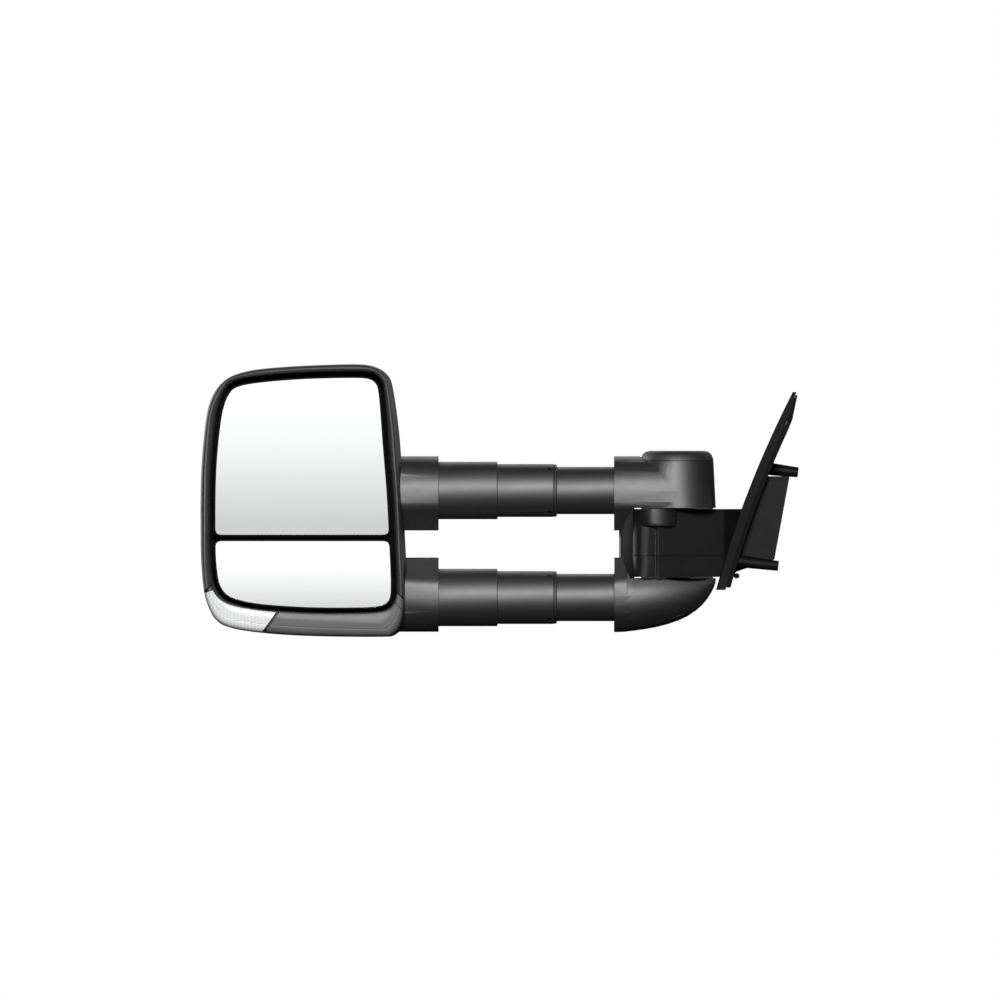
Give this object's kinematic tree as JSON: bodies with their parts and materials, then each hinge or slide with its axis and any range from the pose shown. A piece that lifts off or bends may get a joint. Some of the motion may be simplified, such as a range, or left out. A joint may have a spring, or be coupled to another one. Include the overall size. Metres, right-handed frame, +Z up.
{
  "type": "towing mirror",
  "caption": "Left-hand extendable side mirror: flat and convex glass in a head with indicator, on twin telescoping tubes that fold about an upright pivot.",
  "frame": {"origin": "point on the flat face of the door boss, level with the middle of the bracket arm's upper half, between the posts", "axes": "+X inboard to the car, along the tubes; +Y to the front of the car, away from the mirror glass's face; +Z up"},
  "size_m": [0.5983, 0.2237, 0.2727],
  "materials": {
    "cast": "die casting with satin black powder coat",
    "plastic": "satin black moulded plastic",
    "tube": "black anodised, satin",
    "rubber": "matt black",
    "steel": "zinc plated",
    "nylon": "natural nylon",
    "trim": "satin grey",
    "lens": "clear moulded lens",
    "chrome": "bright metallised reflector",
    "board": "solder mask",
    "mirror": "silvered glass"
  },
  "bodies": {
    "base": {"base_bracket": "cast", "arm_lower_cover": "cast", "sail_cover": "plastic", "sail_gasket": "rubber", "cable_grommet": "rubber", "locating_peg": "plastic", "pivot_tube": "steel", "upper_thrust_washer": "nylon", "lower_thrust_washer": "nylon", "pivot_spring": "steel", "spring_washer": "steel", "pivot_nut": "steel"},
    "hub": {"fold_hub": "cast", "hub_top_cap": "plastic", "pivot_plug": "plastic", "upper_inner_tube": "tube", "lower_inner_tube": "tube"},
    "upper_sleeve": {"upper_middle_sleeve": "tube", "upper_end_ring": "plastic", "upper_top_lock_screw": "steel", "upper_bottom_lock_screw": "steel"},
    "lower_sleeve": {"lower_middle_sleeve": "tube", "lower_end_ring": "plastic", "lower_top_lock_screw": "steel", "lower_bottom_lock_screw": "steel"},
    "head": {"head_frame": "cast", "upper_outer_sleeve": "tube", "lower_outer_sleeve": "tube", "back_shell": "plastic", "front_bezel": "plastic", "chin_trim": "trim", "indicator_lens": "lens", "indicator_reflector": "chrome", "indicator_board": "board", "actuator_housing": "plastic", "lower_pivot_base": "plastic"},
    "tilt_plunger": {"tilt_plunger": "nylon"},
    "pan_plunger": {"pan_plunger": "nylon"},
    "upper_gimbal": {"upper_gimbal_ring": "nylon"},
    "upper_mirror": {"upper_glass_carrier": "plastic", "upper_glass": "mirror"},
    "lower_gimbal": {"lower_gimbal_ring": "nylon"},
    "lower_mirror": {"lower_glass_carrier": "plastic", "lower_glass": "mirror"}
  },
  "joints": [
    {"name": "arm_fold", "type": "hinge", "parent": "base", "child": "hub", "pos_m": [-0.105, -0.062, 0], "axis": [0, 0, 1], "range_deg": [-65, 85]},
    {"name": "head_slide", "type": "slide", "parent": "hub", "child": "head", "axis": [1, 0, 0], "range_m": [0, 0.112]},
    {"name": "upper_sleeve_slide", "type": "slide", "parent": "hub", "child": "upper_sleeve", "axis": [1, 0, 0], "range_m": [0, 0.056]},
    {"name": "lower_sleeve_slide", "type": "slide", "parent": "hub", "child": "lower_sleeve", "axis": [1, 0, 0], "range_m": [0, 0.056]},
    {"name": "upper_glass_tilt", "type": "hinge", "parent": "head", "child": "upper_gimbal", "pos_m": [-0.4805, -0.104, 0.0615], "axis": [1, 0, 0], "range_deg": [-7, 7]},
    {"name": "upper_glass_pan", "type": "hinge", "parent": "upper_gimbal", "child": "upper_mirror", "pos_m": [-0.4805, -0.104, 0.0615], "axis": [0, 0, 1], "range_deg": [-7, 7]},
    {"name": "tilt_plunger_slide", "type": "slide", "parent": "head", "child": "tilt_plunger", "axis": [0, 1, 0], "range_m": [-0.0036, 0.0036]},
    {"name": "pan_plunger_slide", "type": "slide", "parent": "head", "child": "pan_plunger", "axis": [0, 1, 0], "range_m": [-0.0036, 0.0036]},
    {"name": "lower_glass_tilt", "type": "hinge", "parent": "head", "child": "lower_gimbal", "pos_m": [-0.4795, -0.104, -0.056], "axis": [1, 0, 0], "range_deg": [-7, 7]},
    {"name": "lower_glass_pan", "type": "hinge", "parent": "lower_gimbal", "child": "lower_mirror", "pos_m": [-0.4795, -0.104, -0.056], "axis": [0, 0, 1], "range_deg": [-7, 7]}
  ],
  "couplings": [
    {"joint": "upper_sleeve_slide", "follows": "head_slide", "ratio": 0.5},
    {"joint": "lower_sleeve_slide", "follows": "head_slide", "ratio": 0.5},
    {"joint": "tilt_plunger_slide", "follows": "upper_glass_tilt", "m_per_rad": -0.028},
    {"joint": "pan_plunger_slide", "follows": "upper_glass_pan", "m_per_rad": 0.028}
  ]
}
